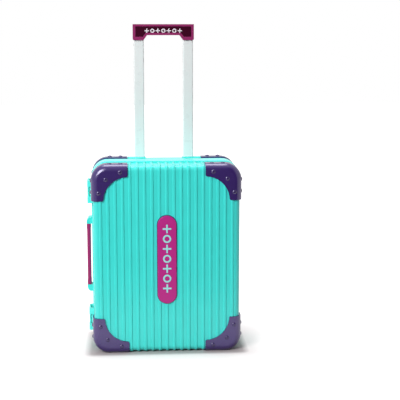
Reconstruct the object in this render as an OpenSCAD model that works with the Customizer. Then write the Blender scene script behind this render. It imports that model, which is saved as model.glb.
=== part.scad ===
// A child's toy trolley case, millimetres, standing upright.
// X runs from the latch side (left, -X) to the hinge side (right, +X), Y from the lid
// (front, -Y) to the back shell with the pull handle (+Y), and Z up from the floor.
// The origin is on the floor, under the middle of the two shells.

/* [Shells] */
// Width of the two shells over their plain side walls
shell_w = 249; // [225:1:275]
// Height of the two shells over their plain top and bottom walls
shell_h = 321; // [290:1:350]
// Depth of the front shell, which is the lid
lid_d = 46; // [42:1:60]
// Depth of the frame between the two shells
frame_d = 34; // [30:1:44]
// Depth of the back shell
back_d = 48; // [46:1:60]
// Radius of the four corners, seen from the front
corner_r = 25; // [22:1:30]
// Radius of the edge round the front and back faces
edge_r = 9; // [6:0.5:10]
// Thickness of the shell walls
wall = 2.4; // [1.8:0.1:3]
// How far the frame and the corner guards stand proud of the shells
proud = 3; // [2.5:0.1:4]
// Gap of the seam between the lid and the frame
seam = 0.4; // [0.3:0.05:0.8]

/* [Ribs] */
// Distance from one rib to the next
rib_pitch = 12.4; // [11.5:0.1:12.4]
// Width of a rib
rib_w = 5.4; // [4:0.1:6.5]
// Height of a rib above the shell
rib_h = 1.5; // [0.8:0.1:2]
// How far each flank of a rib leans in over its height
rib_lean = 1.1; // [0.4:0.1:1.4]

/* [Corner guards] */
// Length of each arm of a guard, from its outermost side
guard_arm = 62; // [56:0.5:66]
// Radius of the hollow arc between the two arms
guard_arc = 41; // [36:0.5:42]
// How far a guard wraps back over the side walls
guard_wrap = 26; // [24:0.5:28]
// Radius of the small round at the tip of each arm
guard_tip_r = 3; // [1.5:0.5:4]
// Radius of a rivet's domed head
rivet_r = 3.65; // [3:0.05:4]
// Height of a rivet's domed head
rivet_h = 1.8; // [1:0.1:2.2]
// Radius of a rivet's shank
shank_r = 1.5; // [1.2:0.1:1.8]
// How far the rivets on the side walls stand behind the front face
rivet_back = 12; // [11.5:0.5:15]

/* [Badge] */
// Width of the upright badge
badge_w = 32; // [28:1:34]
// Height of the badge
badge_h = 152; // [120:1:170]
// Thickness of the badge
badge_t = 3.5; // [2.5:0.1:4]
// Width of the flat strip round the badge where the ribs stop
badge_gap = 1.4; // [0.8:0.1:2]

/* [Frame] */
// Radius of the frame's outer edges
frame_edge_r = 1.5; // [0.8:0.1:2]
// Thickness of the lip that locates the shells
lip_t = 1.6; // [1.2:0.1:2]
// How far the lip reaches into a shell
lip_reach = 3; // [2:0.5:4]
// Clearance between the lip and the lid's wall
lip_gap = 0.5; // [0.4:0.05:0.8]

/* [Hinges] */
// Radius of a hinge knuckle
knuckle_r = 2.9; // [2.6:0.1:3]
// Radius of a hinge pin
hinge_pin_r = 1.25; // [1:0.05:1.4]
// Length of a hinge, three knuckles
hinge_l = 36; // [30:1:45]
// Height of the hinges and latches above and below the middle
side_pitch = 112; // [105:1:114]
// How far inside the frame's outer side the hinge axis lies
hinge_inset = 2; // [1.8:0.1:2]
// Running gap between parts that move past each other
run_gap = 0.3; // [0.3:0.05:0.4]
// Clearance of a pin that turns in its bore
pin_gap = 0.07; // [0.03:0.01:0.1]

/* [Latches] */
// Width of a latch
latch_w = 39; // [34:1:44]
// How far the latch reaches forward over the lid's edge
latch_over = 9; // [7:0.5:10]
// How far the latch stands out from the shell
latch_out = 10; // [9:0.5:11]
// Thickness of the latch plate
latch_t = 2.6; // [2.2:0.1:3]
// Width of the notch between the two legs of a latch
latch_notch = 16; // [12:1:20]
// Radius of a latch pin
latch_pin_r = 1.25; // [1:0.05:1.3]
// How far behind the lid's seam the latch pin lies
latch_pin_back = 21; // [18:0.5:24]

/* [Side handle] */
// Height of the side handle over its two mounts
side_h = 131; // [115:1:140]
// Height of one mount
mount_h = 11.5; // [10:0.5:14]
// Depth of the side handle, front to back
side_d = 22; // [20:0.5:26]
// How far the side handle stands out from the shell
side_out = 12.5; // [12:0.5:14]
// Thickness of the side handle's grip
bail_t = 7; // [6:0.5:8]
// Depth of the side handle's grip
bail_d = 11; // [9:0.5:12]
// Length of each end lug of the side handle
bail_lug = 8; // [7:0.5:10]
// Radius of the side handle's pivot pins
bail_pin_r = 1.8; // [1.5:0.1:2.2]

/* [Pull handle] */
// Height of the extended pull handle above the floor
pull_top = 559; // [520:1:580]
// Width of the pull handle's grip
grip_w = 107; // [104:1:112]
// Depth of the grip, front to back
grip_d = 15; // [13:0.5:15]
// Height of the grip at its two legs
grip_leg_h = 27.5; // [24:0.5:32]
// Height of the grip in its middle
grip_mid_h = 19; // [16:0.5:22]
// Width of one leg of the grip at its foot
grip_leg_w = 20; // [19.5:0.5:22]
// Sideways run of the slope between the grip's leg and its middle
grip_slope = 5; // [3:0.5:8]
// Width of the rim round the grip's plate, at the sides
rim_side = 4.7; // [3:0.1:6]
// Width of the rim round the grip's plate, along the top
rim_top = 3.8; // [3:0.1:5]
// Width of the rim round the grip's plate, under the middle
rim_mid = 4.2; // [3:0.1:5]
// Width of the rim round the grip's plate, at the feet
rim_foot = 5.8; // [4:0.1:7]
// Width of the rim round the grip's plate, at the inner side of a leg
rim_leg = 2; // [1.5:0.1:3]
// Depth of the recess that holds the grip's plate
plate_sink = 1.4; // [1.2:0.1:1.6]
// Thickness of the grip's plate
plate_t = 0.8; // [0.6:0.1:1]
// Distance from the middle of the case to the middle of a tube
tube_x = 43.15; // [42:0.05:44]
// Width of a tube
tube_w = 17.7; // [16:0.1:18]
// Depth of a tube, front to back
tube_d = 8; // [7:0.1:8]
// Radius of a tube's corners
tube_r = 2; // [1:0.5:3]
// Wall of a tube
tube_wall = 1.3; // [1:0.1:1.6]
// How far the pull handle goes down
pull_travel = 205; // [150:1:205]
// Depth of a tube's end in the grip
tube_socket = 14; // [8:0.5:16]
// Length of a tube below the top wall when it is pulled out
tube_hold = 18; // [12:0.5:24]
// Height of the collar round each tube above the shell
collar_h = 2.2; // [1.8:0.1:2.6]
// How far a collar reaches forward over the top wall
collar_wrap = 23; // [21:0.5:26]
// How far a collar reaches down the back face
collar_drop = 13; // [11:0.5:18]

/* [Wheels] */
// Radius of a wheel over its tyre
wheel_r = 20; // [16:0.5:20]
// Width of a wheel
wheel_w = 14; // [11:0.5:15]
// Distance from the plain side wall in to the middle of a wheel
wheel_inset = 26.5; // [25.5:0.5:30.5]
// How far a wheel stands out behind the back face
wheel_out = 9; // [8:0.5:10]
// Radius of a wheel's rim under the tyre
rim_r = 14.5; // [12:0.5:15]
// Radius of an axle
axle_r = 2.5; // [2:0.1:3]
// Thickness of a wheel housing's cheeks
cheek = 3; // [2.4:0.1:3.2]

/* [Screws] */
// Radius of a frame screw's head
screw_head_r = 3; // [2.6:0.1:3.4]
// Radius of a frame screw's shank
screw_r = 1.5; // [1.2:0.1:1.6]
// Length of a frame screw under its head
screw_l = 18; // [12:1:24]
// Height of the frame screws above and below the middle
screw_pitch = 88; // [70:1:96]

/* [Hidden] */
$fn = 64;

// How far a piece is sunk into the one that it is joined to
embed = 0.6;
// Gap between two pieces that are fixed together face to face
seat = 0.1;
// Extra length of a tool that cuts right through
through = 1;

shell_lo = proud;
shell_hi = shell_lo + shell_h;
shell_mid = shell_lo + shell_h / 2;
half_w = shell_w / 2;
case_d = lid_d + frame_d + back_d;
front_y = -case_d / 2;
back_y = case_d / 2;
frame_y = front_y + lid_d;
frame_back_y = frame_y + frame_d;
frame_wall = proud + wall + lip_gap + lip_t;

// Number of ribs that fit on the flat of the face on each side of the middle one
rib_side = floor((half_w - edge_r - rib_w / 2) / rib_pitch);
guard_edge_x = half_w + proud;
guard_inner_x = guard_edge_x - guard_arm;

// Rivets on a guard's face, from its outermost corner
face_rivets = [[49, 13], [25, 25], [13, 48]];
// Rivets along a guard's top, from its outermost side
top_rivets = [31.5, 50.2];
// Rivets along a guard's side, from its top
side_rivets = [28, 48];
// Radius of the sphere whose cap is a rivet's head
dome_r = (rivet_r * rivet_r + rivet_h * rivet_h) / (2 * rivet_h);

hinge_x = half_w + proud - hinge_inset;
hinge_y = frame_y;
knuckle_l = (hinge_l - 2 * run_gap) / 3;

latch_tip_y = frame_y - latch_over;
latch_pin_y = frame_y + latch_pin_back;
latch_barrel_r = latch_t;
latch_pin_out = latch_out - latch_barrel_r;
latch_base_t = 1.2;
ear_w = 6;
latch_leg_t = 3.5;
latch_leg_gap = 1.2;
latch_notch_spare = 5;
catch_gap = 1.5;
catch_out = 6;

side_y = frame_y + frame_d / 2;
bail_front_y = side_y - side_d / 2;
bail_back_y = side_y + side_d / 2;
bail_in = side_out - bail_t;
bail_pin_y = bail_back_y - bail_t / 2 - 0.5;
bail_pin_out = side_out - bail_t / 2;
bail_pin_l = 6;
bail_half = side_h / 2 - mount_h - run_gap;
bail_round = 2.5;

collar_gap = run_gap;
neck_wall = 1.4;
sleeve_wall = 1.3;
neck_w = tube_w + 2 * (collar_gap + neck_wall);
neck_d = tube_d + 2 * (collar_gap + neck_wall);
sleeve_in_w = neck_w + 2 * seat;
sleeve_in_d = neck_d + 2 * seat;
sleeve_w = sleeve_in_w + 2 * sleeve_wall;
sleeve_d = sleeve_in_d + 2 * sleeve_wall;
tube_y = back_y - wall - run_gap - sleeve_d / 2;
tube_low = shell_hi - tube_hold;
stop_h = 6;
grip_foot = pull_top - grip_leg_h;
tube_high = grip_foot + tube_socket;
sleeve_spare = 5;
sleeve_low = tube_low - stop_h - pull_travel - sleeve_spare;
collar_in = tube_x - tube_w / 2 - 1.6;
collar_out = guard_inner_x - run_gap;
foot_chamfer = 1.5;

wheel_x = half_w - wheel_inset;
wheel_y = back_y + wheel_out - wheel_r;
well_gap = 1;
well_w = wheel_w + 2 * well_gap;
well_r = wheel_r + 1.6;
housing_w = well_w + 2 * cheek;
housing_r = well_r + cheek;
housing_out = wheel_x + housing_w / 2;

boss_r = 4;
boss_x = half_w + proud - frame_wall - boss_r - 1;
lug_t = 3;
screw_head_h = 2;

// ---------------------------------------------------------------- placing

// Mirrors a piece drawn at the right top corner into corner (sx, sz)
module at_corner(sx, sz) {
    translate([0, 0, shell_mid])
        mirror([sx < 0 ? 1 : 0, 0, 0])
            mirror([0, 0, sz < 0 ? 1 : 0])
                translate([0, 0, -shell_mid]) children();
}

// Puts a piece that is drawn with its face at Y = 0 on the front or on the back
module on_face(front) {
    mirror([0, front ? 0 : 1, 0]) translate([0, front_y, 0]) children();
}

// Extrudes a flat shape drawn in (out from the left shell wall, Y) upwards from z
module on_left(z, h) {
    translate([-half_w, 0, z]) mirror([1, 0, 0]) linear_extrude(height = h) children();
}

// Extrudes a flat shape drawn in (Y, Z) along X, centred on x
module along_x(x, l) {
    translate([x, 0, 0]) rotate([90, 0, 90])
        linear_extrude(height = l, center = true) children();
}

// A square with its four corners rounded, centred
module rounded(w, d, r) {
    square([w - 2 * r, d], center = true);
    square([w, d - 2 * r], center = true);
    for (sx = [-1, 1], sy = [-1, 1])
        translate([sx * (w / 2 - r), sy * (d / 2 - r)]) circle(r);
}

// ---------------------------------------------------------------- shell forms

// Section of a shell's edge: u runs in from the side wall, v runs in from the face.
// A positive grow gives the same edge, that much further out.
module edge_profile(grow, depth, reach) {
    translate([edge_r, edge_r]) circle(edge_r + grow);
    translate([edge_r, -grow]) square([reach - edge_r, edge_r + grow]);
    translate([-grow, edge_r]) square([reach + grow, depth - edge_r]);
}

// Sweeps a section (u in from the wall, v along Y) along one straight side of the shells.
// side 0 is the right one, and the others follow towards the top.
module sweep_side(side) {
    even = side % 2 == 0;
    half = even ? half_w : shell_h / 2;
    run = (even ? shell_h : shell_w) - 2 * corner_r;
    translate([0, 0, shell_mid]) rotate([0, -90 * side, 0]) translate([half, 0, 0])
        mirror([1, 0, 0]) linear_extrude(height = run, center = true) children();
}

// Sweeps the same section round one corner: 0 is right below, 1 right above
module sweep_corner(corner) {
    sx = corner < 2 ? 1 : -1;
    sz = corner == 1 || corner == 2 ? 1 : -1;
    translate([sx * (half_w - corner_r), 0, shell_mid + sz * (shell_h / 2 - corner_r)])
        rotate([0, -90 * corner, 0]) rotate([-90, 0, 0])
            rotate_extrude(angle = 90) translate([corner_r, 0]) mirror([1, 0]) children();
}

// Sweeps the same section right round the shells
module sweep_round() {
    for (i = [0:3]) {
        sweep_side(i) children();
        sweep_corner(i) children();
    }
}

// One hollow shell with its face at Y = 0, open at Y = depth
module tray(depth) {
    sweep_round() difference() {
        edge_profile(0, depth, corner_r);
        edge_profile(-wall, depth + through, corner_r + through);
    }
    translate([-half_w + corner_r, 0, shell_lo + corner_r])
        cube([shell_w - 2 * corner_r, wall, shell_h - 2 * corner_r]);
}

// Section of a shell in (Y, Z), grown outwards
module shell_section(grow, depth) {
    for (z = [shell_lo + edge_r, shell_hi - edge_r])
        translate([edge_r, z]) circle(edge_r + grow);
    translate([edge_r, shell_lo - grow]) square([depth - edge_r, shell_h + 2 * grow]);
    translate([-grow, shell_lo + edge_r]) square([2 * edge_r, shell_h - 2 * edge_r]);
}

// Section of a rib: u runs across it and v runs out from the shell
module rib_section() {
    polygon([
        [-rib_w / 2, -embed], [-rib_w / 2, 0], [rib_lean - rib_w / 2, rib_h],
        [rib_w / 2 - rib_lean, rib_h], [rib_w / 2, 0], [rib_w / 2, -embed]
    ]);
}

// A rib up the face, from height z
module face_rib(x, z, l) {
    translate([x, 0, z]) linear_extrude(height = l) mirror([0, 1]) rib_section();
}

// The same rib where it turns over the top edge and runs back along the top wall
module top_rib(x, depth) {
    translate([x, edge_r, shell_hi - edge_r]) rotate([90, 0, 90]) rotate([0, 0, 90])
        rotate_extrude(angle = 90) translate([edge_r, 0]) rotate(-90) rib_section();
    translate([x, depth, shell_hi]) rotate([90, 0, 0])
        linear_extrude(height = depth - edge_r) rib_section();
}

// All the ribs of one shell. The outer ones stop at the guards, and the others run on
// over the bottom wall, and over the top wall too where over_top is true.
module ribs(depth, over_top) {
    for (i = [-rib_side:rib_side]) {
        x = i * rib_pitch;
        if (abs(x) + rib_w / 2 < guard_inner_x) {
            face_rib(x, shell_lo + edge_r, shell_h - 2 * edge_r);
            if (over_top) top_rib(x, depth);
            at_corner(1, -1) top_rib(x, depth);
        } else difference() {
            face_rib(x, shell_lo + guard_arm / 2, shell_h - guard_arm);
            for (sz = [-1, 1]) at_corner(sign(x), sz) guard_prism(run_gap);
        }
    }
}

// ---------------------------------------------------------------- corner guards

// Outline of a guard from its outermost corner: two arms and a hollow arc between them
module guard_outline(grow) {
    tip_y = guard_arm - sqrt(pow(guard_arc + guard_tip_r, 2) - pow(guard_tip_r, 2));
    difference() {
        translate([-proud, -proud]) square(guard_arm + grow + proud);
        translate([guard_arm, guard_arm]) circle(guard_arc - grow);
        if (grow == 0) for (turn = [0, 1]) mirror([turn, -turn])
            difference() {
                translate([guard_arm - guard_tip_r, tip_y]) square(guard_tip_r + through);
                translate([guard_arm - guard_tip_r, tip_y]) circle(guard_tip_r);
            }
    }
}

// That outline as a block at the right top corner, through the front part of the shell
module guard_prism(grow) {
    depth = guard_wrap + 2 * proud;
    translate([guard_edge_x, guard_wrap + through, shell_hi + proud]) rotate([90, 0, 0])
        linear_extrude(height = depth + through) mirror([1, 0]) mirror([0, 1])
            guard_outline(grow);
}

// Section of a guard, which lies on the shell
module guard_profile() {
    difference() {
        edge_profile(proud, guard_wrap, corner_r);
        edge_profile(seat, guard_wrap + through, corner_r + through);
    }
}

// Places one rivet at each hole of a guard at the right top corner; inner_x is the
// distance from the middle of the case where the guard's face ends
module each_rivet(upper, inner_x) {
    for (p = face_rivets) if (guard_edge_x - p[0] - rivet_r > inner_x)
        translate([guard_edge_x - p[0], -proud, shell_hi + proud - p[1]])
            rotate([90, 0, 0]) children();
    for (p = side_rivets)
        translate([guard_edge_x, rivet_back, shell_hi + proud - p])
            rotate([0, 90, 0]) children();
    if (upper) for (p = top_rivets)
        translate([guard_edge_x - p, rivet_back, shell_hi + proud]) children();
}

// A guard at the right top corner, with its rivet holes
module guard(upper, inner_x) {
    flat_x = half_w - corner_r - guard_inner_x + through;
    flat_z = guard_arm - proud - corner_r + through;
    difference() {
        intersection() {
            union() {
                sweep_corner(1) guard_profile();
                sweep_side(0) guard_profile();
                sweep_side(1) guard_profile();
                translate([half_w - corner_r - flat_x, -proud, shell_hi - corner_r - flat_z])
                    cube([flat_x, proud - seat, flat_z]);
            }
            guard_prism(0);
        }
        each_rivet(upper, inner_x) translate([0, 0, -proud])
            cylinder(r = shank_r + seat, h = proud + through);
    }
}

// A rivet, its head standing on Z = 0
module rivet() {
    rotate_extrude() {
        intersection() {
            translate([0, rivet_h - dome_r]) circle(dome_r);
            square([rivet_r + through, rivet_h]);
        }
        translate([0, seat - proud]) square([shank_r, proud - seat]);
    }
}

// Where a guard's face ends, from the middle of the case
function guard_end(sz, front) = front || sz > 0 ? guard_inner_x : housing_out + run_gap;

module guard_at(sx, sz, front) {
    color([0.24, 0.15, 0.37]) on_face(front) at_corner(sx, sz)
        guard(sz > 0, guard_end(sz, front));
}

module rivets_on(front) {
    color([0.24, 0.15, 0.37]) on_face(front)
        for (sx = [-1, 1], sz = [-1, 1]) at_corner(sx, sz)
            each_rivet(sz > 0, guard_end(sz, front)) rivet();
}

// ---------------------------------------------------------------- lid

// The pill outline of the badge, standing upright
module pill(grow) {
    r = badge_w / 2;
    run = badge_h - badge_w;
    square([badge_w + 2 * grow, run], center = true);
    for (s = [-1, 1]) translate([0, s * run / 2]) circle(r + grow);
}

// The pill as a block in front of the lid's face
module pill_prism(grow, y, depth) {
    translate([0, y + depth, shell_mid]) rotate([90, 0, 0])
        linear_extrude(height = depth) pill(grow);
}

// A round bar on the hinge axis, centred on height z
module hinge_bar(r, z, l) {
    translate([hinge_x, hinge_y, z - l / 2]) cylinder(r = r, h = l);
}

// Heights of the two outer knuckles, which belong to the frame
function knuckle_z(z, s) = z + s * (knuckle_l + run_gap);

module front_shell() {
    color([0.30, 0.89, 0.86]) difference() {
        union() {
            on_face(true) {
                tray(lid_d - seam);
                difference() {
                    ribs(lid_d - seam, true);
                    pill_prism(badge_gap, -rib_h - through, rib_h + through);
                }
            }
            for (s = [-1, 1])
                hinge_bar(knuckle_r, shell_mid + s * side_pitch, knuckle_l);
        }
        for (s = [-1, 1]) {
            z = shell_mid + s * side_pitch;
            hinge_bar(hinge_pin_r + pin_gap, z, hinge_l);
            for (t = [-1, 1])
                hinge_bar(knuckle_r + run_gap, knuckle_z(z, t), knuckle_l + 2 * run_gap);
        }
    }
}

module badge() {
    color([0.72, 0.18, 0.50]) pill_prism(0, front_y - badge_t, badge_t - seat);
}

// The block on the lid's side wall that a latch closes over
module lid_catch(s) {
    h = latch_notch - 2 * catch_gap;
    color([0.42, 0.80, 0.80])
        on_left(shell_mid + s * side_pitch - h / 2, h)
            polygon([
                [seat, frame_y - seam - 1], [catch_out, frame_y - 3],
                [catch_out, latch_tip_y + 2], [seat, latch_tip_y]
            ]);
}

// ---------------------------------------------------------------- frame and back shell

// Section of the frame: a proud band with a lip on each side
module frame_profile() {
    r = frame_edge_r;
    translate([r - proud, 0]) square([frame_wall - r, frame_d]);
    translate([-proud, r]) square([r, frame_d - 2 * r]);
    for (v = [r, frame_d - r]) translate([r - proud, v]) circle(r);
    translate([frame_wall - proud - lip_t, -lip_reach])
        square([lip_t, frame_d + 2 * lip_reach]);
}

// The four places where a screw holds the frame to the back shell
module each_screw() {
    for (sx = [-1, 1], s = [-1, 1])
        translate([sx * boss_x, frame_back_y, shell_mid + s * screw_pitch])
            mirror([sx < 0 ? 1 : 0, 0, 0]) rotate([-90, 0, 0]) children();
}

module mid_frame() {
    lug_w = half_w + proud - frame_wall - boss_x;
    color([0.42, 0.93, 0.92]) difference() {
        union() {
            translate([0, frame_y, 0]) sweep_round() frame_profile();
            each_screw() translate([0, 0, -lug_t]) {
                cylinder(r = boss_r, h = lug_t);
                translate([0, -boss_r, 0]) cube([lug_w + embed, 2 * boss_r, lug_t]);
            }
            for (s = [-1, 1], t = [-1, 1])
                hinge_bar(knuckle_r, knuckle_z(shell_mid + s * side_pitch, t), knuckle_l);
        }
        each_screw() translate([0, 0, -lug_t - through])
            cylinder(r = screw_r + 2 * seat, h = lug_t + 2 * through);
        for (s = [-1, 1]) {
            z = shell_mid + s * side_pitch;
            hinge_bar(knuckle_r + run_gap, z, knuckle_l + 2 * run_gap);
            hinge_bar(hinge_pin_r + seat / 2, z, hinge_l + 2 * through);
        }
    }
}

// The flat outline of a tube and of what runs along it
module tube_block(sx, w, d, r, z, h) {
    translate([sx * tube_x, tube_y, z]) linear_extrude(height = h) rounded(w, d, r);
}

// An arch over a wheel, in (Y, Z), that runs on down and out behind
module arch(r) {
    translate([wheel_y, wheel_r]) circle(r);
    translate([wheel_y - r, -through]) square([2 * r, wheel_r + through]);
    translate([wheel_y, -through]) square([case_d, wheel_r + r + through]);
}

// The opening that the wheel stands in, also in (Y, Z)
module wheel_well() {
    translate([wheel_y, wheel_r]) circle(well_r);
    translate([wheel_y - well_r, -through]) square([case_d, wheel_r + through]);
}

// Bosses that take the frame screws, each with a web to the side wall
module screw_bosses() {
    boss_l = back_d - wall + embed - seat;
    web_l = boss_l - lip_reach - 1;
    each_screw() translate([0, 0, seat]) {
        cylinder(r = boss_r, h = boss_l);
        translate([0, -wall / 2, boss_l - web_l])
            cube([half_w - wall / 2 - boss_x, wall, web_l]);
    }
}

module back_shell() {
    color([0.30, 0.89, 0.86]) difference() {
        union() {
            on_face(false) {
                tray(back_d - seat);
                difference() {
                    ribs(back_d - seat, false);
                    for (sx = [-1, 1]) collar_block(sx, run_gap);
                }
            }
            screw_bosses();
        }
        each_screw() cylinder(r = screw_r + seat / 2, h = screw_l + 2);
        for (sx = [-1, 1]) {
            tube_block(sx, neck_w + 2 * seat, neck_d + 2 * seat, tube_r,
                       shell_hi - edge_r, edge_r + through);
            along_x(sx * wheel_x, housing_w + 2 * seat) arch(housing_r + seat);
        }
    }
}

// The place of a collar, as a block; drawn with the back face at Y = 0
module collar_block(sx, grow) {
    w = collar_out - collar_in + 2 * grow;
    translate([sx * (collar_in + collar_out) / 2 - w / 2, -proud, shell_hi - collar_drop - grow])
        cube([w, proud + collar_wrap + grow, collar_drop + 2 * proud]);
}

// ---------------------------------------------------------------- tubes' guides

// The collar that a tube comes out of: a plate that wraps over the shell's top back
// edge, and a neck that goes down through the top wall
module tube_collar(sx) {
    neck_low = tube_low + run_gap;
    color([0.42, 0.93, 0.92]) difference() {
        union() {
            on_face(false) intersection() {
                along_x(0, shell_w) difference() {
                    shell_section(collar_h, back_d);
                    shell_section(seat, back_d + through);
                }
                collar_block(sx, 0);
            }
            tube_block(sx, neck_w, neck_d, tube_r, neck_low, shell_hi + embed - neck_low);
        }
        tube_block(sx, tube_w + 2 * collar_gap, tube_d + 2 * collar_gap, tube_r,
                   neck_low - through, pull_top);
    }
}

// The sleeve inside the back shell that the tube's end slides in
module tube_sleeve(sx) {
    h = shell_hi - edge_r - seat - sleeve_low;
    color([0.80, 0.82, 0.84]) difference() {
        tube_block(sx, sleeve_w, sleeve_d, tube_r + sleeve_wall, sleeve_low, h);
        tube_block(sx, sleeve_in_w, sleeve_in_d, tube_r, sleeve_low - through, h + 2 * through);
    }
}

// ---------------------------------------------------------------- back guards and wheels

// A lower back guard, which ends at the wheel housing
module back_guard_bottom(sx) {
    difference() {
        guard_at(sx, -1, false);
        along_x(0, 2 * (housing_out + run_gap)) arch(case_d);
    }
}

// The housing that stands through the shell's lower back edge: it closes the shell
// round the wheel, and its two cheeks carry the axle
module wheel_housing(sx) {
    color([0.24, 0.15, 0.37]) difference() {
        intersection() {
            along_x(sx * wheel_x, housing_w) arch(housing_r);
            on_face(false) along_x(0, shell_w) shell_section(proud, back_d - seat);
        }
        along_x(sx * wheel_x, well_w) wheel_well();
        along_x(sx * wheel_x, housing_w + 2 * through)
            translate([wheel_y, wheel_r]) circle(axle_r + seat / 2);
    }
}

module wheel_axle(sx) {
    color([0.75, 0.76, 0.78]) along_x(sx * wheel_x, housing_w)
        translate([wheel_y, wheel_r]) circle(axle_r);
}

// A round piece on a wheel's axis, from a half section in (radius, X)
module on_wheel(sx) {
    translate([sx * wheel_x, wheel_y, wheel_r]) rotate([0, 90, 0])
        rotate_extrude() children();
}

module wheel_hub(sx) {
    rim_half = wheel_w / 2 - 1;
    rim_wall = 2.5;
    boss_wall = 3;
    web_t = 2.4;
    color([0.72, 0.18, 0.50]) on_wheel(sx) {
        translate([axle_r + pin_gap, -wheel_w / 2]) square([boss_wall, wheel_w]);
        translate([axle_r + pin_gap, -web_t / 2])
            square([rim_r - embed - axle_r - pin_gap, web_t]);
        translate([rim_r - rim_wall, -rim_half]) square([rim_wall - seat, 2 * rim_half]);
    }
}

module tyre(sx) {
    shoulder = (wheel_r - rim_r) / 2;
    half = wheel_w / 2;
    color([0.20, 0.20, 0.23]) on_wheel(sx) {
        translate([rim_r, -half]) square([wheel_r - shoulder - rim_r, wheel_w]);
        translate([rim_r, -half + shoulder])
            square([wheel_r - rim_r, wheel_w - 2 * shoulder]);
        for (s = [-1, 1])
            translate([wheel_r - shoulder, s * (half - shoulder)]) circle(shoulder);
    }
}

// ---------------------------------------------------------------- latches

// Ear of the bracket, seen from above
module ear_outline() {
    translate([latch_pin_out, latch_pin_y]) circle(latch_barrel_r);
    translate([proud + seat, latch_pin_y - latch_barrel_r])
        square([latch_pin_out - proud - seat, 2 * latch_barrel_r]);
}

module latch_bracket(s) {
    z = shell_mid + s * side_pitch - latch_w / 2;
    color([0.42, 0.80, 0.80]) difference() {
        union() {
            on_left(z, latch_w)
                translate([proud + seat, latch_pin_y - latch_barrel_r - 1])
                    square([latch_base_t, 2 * latch_barrel_r + 2]);
            on_left(z, ear_w) ear_outline();
            on_left(z + latch_w - ear_w, ear_w) ear_outline();
        }
        on_left(z - through, latch_w + 2 * through)
            translate([latch_pin_out, latch_pin_y]) circle(latch_pin_r + seat / 2);
    }
}

module latch_pin(s) {
    color([0.75, 0.76, 0.78])
        on_left(shell_mid + s * side_pitch - latch_w / 2, latch_w)
            translate([latch_pin_out, latch_pin_y]) circle(latch_pin_r);
}

// Section of the latch from above: a plate with a leg that turns in over the lid
module latch_section() {
    r = latch_t;
    translate([latch_out - latch_t, latch_tip_y + r])
        square([latch_t, latch_pin_y - latch_barrel_r - run_gap - latch_tip_y - r - 0.6]);
    translate([latch_leg_gap, latch_tip_y])
        square([latch_out - latch_leg_gap - r, latch_leg_t]);
    translate([latch_out - r, latch_tip_y + r]) circle(r);
}

module latch(s) {
    z = shell_mid + s * side_pitch;
    barrel_l = latch_w - 2 * (ear_w + run_gap);
    notch_l = latch_over + latch_notch_spare;
    color([0.42, 0.80, 0.80]) difference() {
        union() {
            on_left(z - latch_w / 2, latch_w) latch_section();
            on_left(z - barrel_l / 2, barrel_l) {
                translate([latch_pin_out, latch_pin_y]) circle(latch_barrel_r);
                translate([latch_out - latch_t, latch_tip_y + latch_t])
                    square([latch_t, latch_pin_y - latch_tip_y - latch_t]);
            }
        }
        on_left(z - latch_notch / 2, latch_notch)
            translate([0, latch_tip_y - through])
                square([latch_out + through, notch_l + through]);
        on_left(z - latch_w / 2 - through, latch_w + 2 * through)
            translate([latch_pin_out, latch_pin_y]) circle(latch_pin_r + pin_gap);
    }
}

// ---------------------------------------------------------------- side handle

// One mount: a block with a quarter-round shoulder and a blind bore for the pivot pin
module side_handle_mount(s) {
    shoulder = side_out - proud - seat - 1;
    color([0.30, 0.89, 0.86]) translate([0, 0, shell_mid]) mirror([0, 0, s < 0 ? 1 : 0])
        difference() {
            translate([-half_w - proud - seat, 0, side_h / 2 - mount_h])
                rotate([-90, 0, 0]) translate([0, 0, bail_front_y])
                    linear_extrude(height = side_d) mirror([0, 1]) {
                        intersection() {
                            translate([0, mount_h - shoulder]) circle(shoulder + 1);
                            translate([-shoulder - 1, 0]) square([shoulder + 1, mount_h]);
                        }
                        translate([-shoulder - 1, 0])
                            square([shoulder + 1, mount_h - shoulder]);
                    }
            translate([-half_w - bail_pin_out, bail_pin_y, side_h / 2 - mount_h - through])
                cylinder(r = bail_pin_r + pin_gap, h = through + bail_pin_l + run_gap);
        }
}

module side_handle() {
    grip_l = 2 * bail_half;
    color([0.64, 0.25, 0.46]) translate([0, 0, shell_mid]) {
        on_left(-bail_half, grip_l)
            translate([bail_in + bail_t / 2 - 0.25, bail_front_y + bail_d / 2])
                rounded(bail_t - 0.5, bail_d, bail_round);
        for (s = [-1, 1]) on_left(s * (bail_half - bail_lug / 2) - bail_lug / 2, bail_lug) {
            translate([bail_pin_out, bail_pin_y]) circle(bail_t / 2);
            translate([bail_in, bail_front_y + bail_round])
                square([bail_t, bail_pin_y - bail_front_y - bail_round]);
            translate([bail_in + bail_round, bail_front_y])
                square([bail_t - 2 * bail_round, bail_round]);
            for (u = [bail_in + bail_round, side_out - bail_round])
                translate([u, bail_front_y + bail_round]) circle(bail_round);
        }
        on_left(-bail_half - bail_pin_l, bail_pin_l + embed)
            translate([bail_pin_out, bail_pin_y]) circle(bail_pin_r);
        on_left(bail_half - embed, bail_pin_l + embed)
            translate([bail_pin_out, bail_pin_y]) circle(bail_pin_r);
    }
}

// ---------------------------------------------------------------- pull handle

// Outline of the grip seen from the front, drawn in by the given rims
module grip_outline(side, top, foot, mid, inner, chamfer) {
    w = grip_w / 2 - side;
    leg = grip_w / 2 - grip_leg_w + inner;
    low = grip_foot + foot;
    half = [
        [w, pull_top - top], [w, low + chamfer], [w - chamfer, low], [leg + chamfer, low],
        [leg, low + chamfer], [leg - grip_slope, pull_top - grip_mid_h + mid]
    ];
    polygon(concat(half, [for (i = [len(half) - 1:-1:0]) [-half[i][0], half[i][1]]]));
}

// Outline of the plate inside the grip's rim
module plate_outline(gap) {
    grip_outline(rim_side + gap, rim_top + gap, rim_foot + gap, rim_mid + gap,
                 rim_leg + gap, 0);
}

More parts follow.
